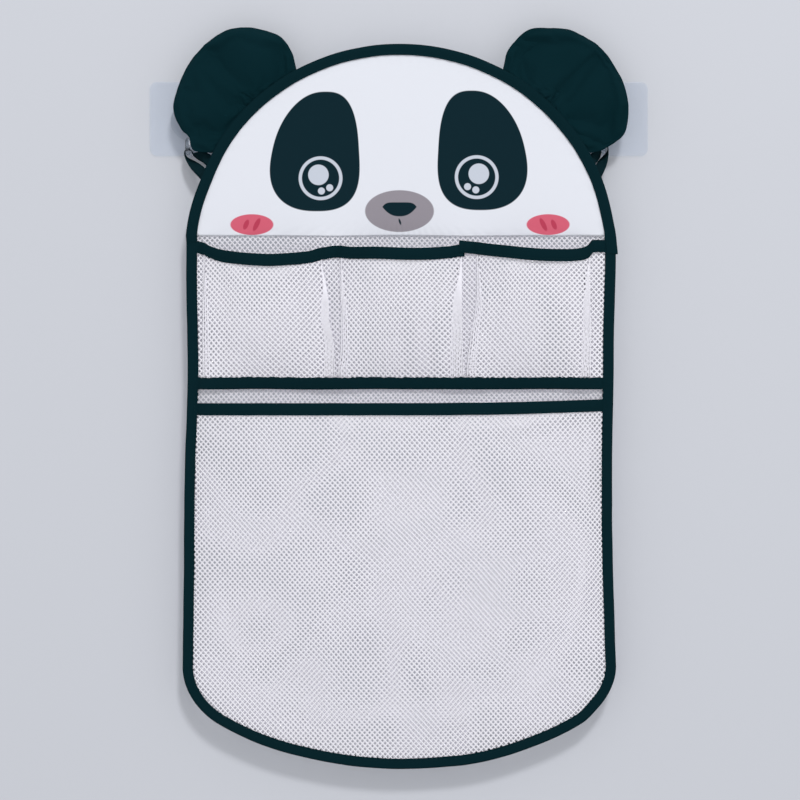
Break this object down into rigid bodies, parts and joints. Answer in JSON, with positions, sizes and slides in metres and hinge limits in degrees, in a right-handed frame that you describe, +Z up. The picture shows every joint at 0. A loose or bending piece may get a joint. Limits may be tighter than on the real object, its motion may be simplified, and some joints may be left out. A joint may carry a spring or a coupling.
{
  "type": "hanging bath toy organizer",
  "caption": "Wall-hung bath toy organizer: stiff animal-face panel with padded ears over a net bag with a row of small pockets and a large pocket, on ribbon loops and clear stick-on hooks.",
  "frame": {"origin": "on the wall plane, midway between the centres of the two stick-on hook pads", "axes": "+Z up the wall, +Y into the wall so the front faces -Y, +X to the viewer's right"},
  "size_m": [0.4, 0.0441, 0.5927],
  "materials": {
    "clear_film": "clear film with a soft gloss",
    "clear_plastic": "clear moulded plastic, glossy",
    "face_cloth": "smooth woven polyester with a printed animal face",
    "stiff_board": "thin stiffening sheet",
    "lining_cloth": "smooth woven polyester",
    "dark_tape": "matt woven binding tape",
    "dark_ribbon": "matt woven ribbon",
    "ear_cloth": "matt woven polyester",
    "ear_filling": "polyester wadding",
    "white_net": "knitted diamond net, slightly shiny",
    "white_thread": "sewing thread"
  },
  "bodies": {
    "wall_hooks": {"left_hook_pad": "clear_film", "right_hook_pad": "clear_film", "left_hook": "clear_plastic", "right_hook": "clear_plastic"},
    "head": {"face_panel": "face_cloth", "head_board": "stiff_board", "head_back_panel": "lining_cloth", "head_binding": "dark_tape", "left_hanging_loop": "dark_ribbon", "right_hanging_loop": "dark_ribbon"},
    "left_ear": {"left_ear_front": "ear_cloth", "left_ear_back": "ear_cloth", "left_ear_filling": "ear_filling"},
    "right_ear": {"right_ear_front": "ear_cloth", "right_ear_back": "ear_cloth", "right_ear_filling": "ear_filling"},
    "upper_bag": {"upper_back_net": "white_net", "upper_pocket_net": "white_net", "upper_pocket_rim_tape": "dark_tape", "upper_pocket_base_tape": "dark_tape", "left_side_binding": "dark_tape", "right_side_binding": "dark_tape", "left_divider_seam": "white_thread", "right_divider_seam": "white_thread"},
    "lower_bag": {"lower_back_net": "white_net", "lower_pocket_net": "white_net", "lower_pocket_rim_tape": "dark_tape", "lower_binding": "dark_tape"}
  },
  "joints": [
    {"name": "bag_lift", "type": "slide", "parent": "wall_hooks", "child": "head", "axis": [0, 0, 1], "range_m": [0, 0.007]},
    {"name": "upper_fold", "type": "hinge", "parent": "head", "child": "upper_bag", "pos_m": [0, -0.0221, -0.09315], "axis": [-1, 0, 0], "range_deg": [0, 90]},
    {"name": "lower_fold", "type": "hinge", "parent": "upper_bag", "child": "lower_bag", "pos_m": [0, -0.0221, -0.221], "axis": [-1, 0, 0], "range_deg": [0, 90]},
    {"name": "left_ear_flop", "type": "hinge", "parent": "head", "child": "left_ear", "pos_m": [-0.12104, -0.0221, 0.01146], "axis": [0.717, 0, 0.6971], "range_deg": [0, 70], "stiffness_Nm_per_rad": 0.06},
    {"name": "right_ear_flop", "type": "hinge", "parent": "head", "child": "right_ear", "pos_m": [0.12104, -0.0221, 0.01146], "axis": [0.717, 0, -0.6971], "range_deg": [0, 70], "stiffness_Nm_per_rad": 0.06}
  ]
}
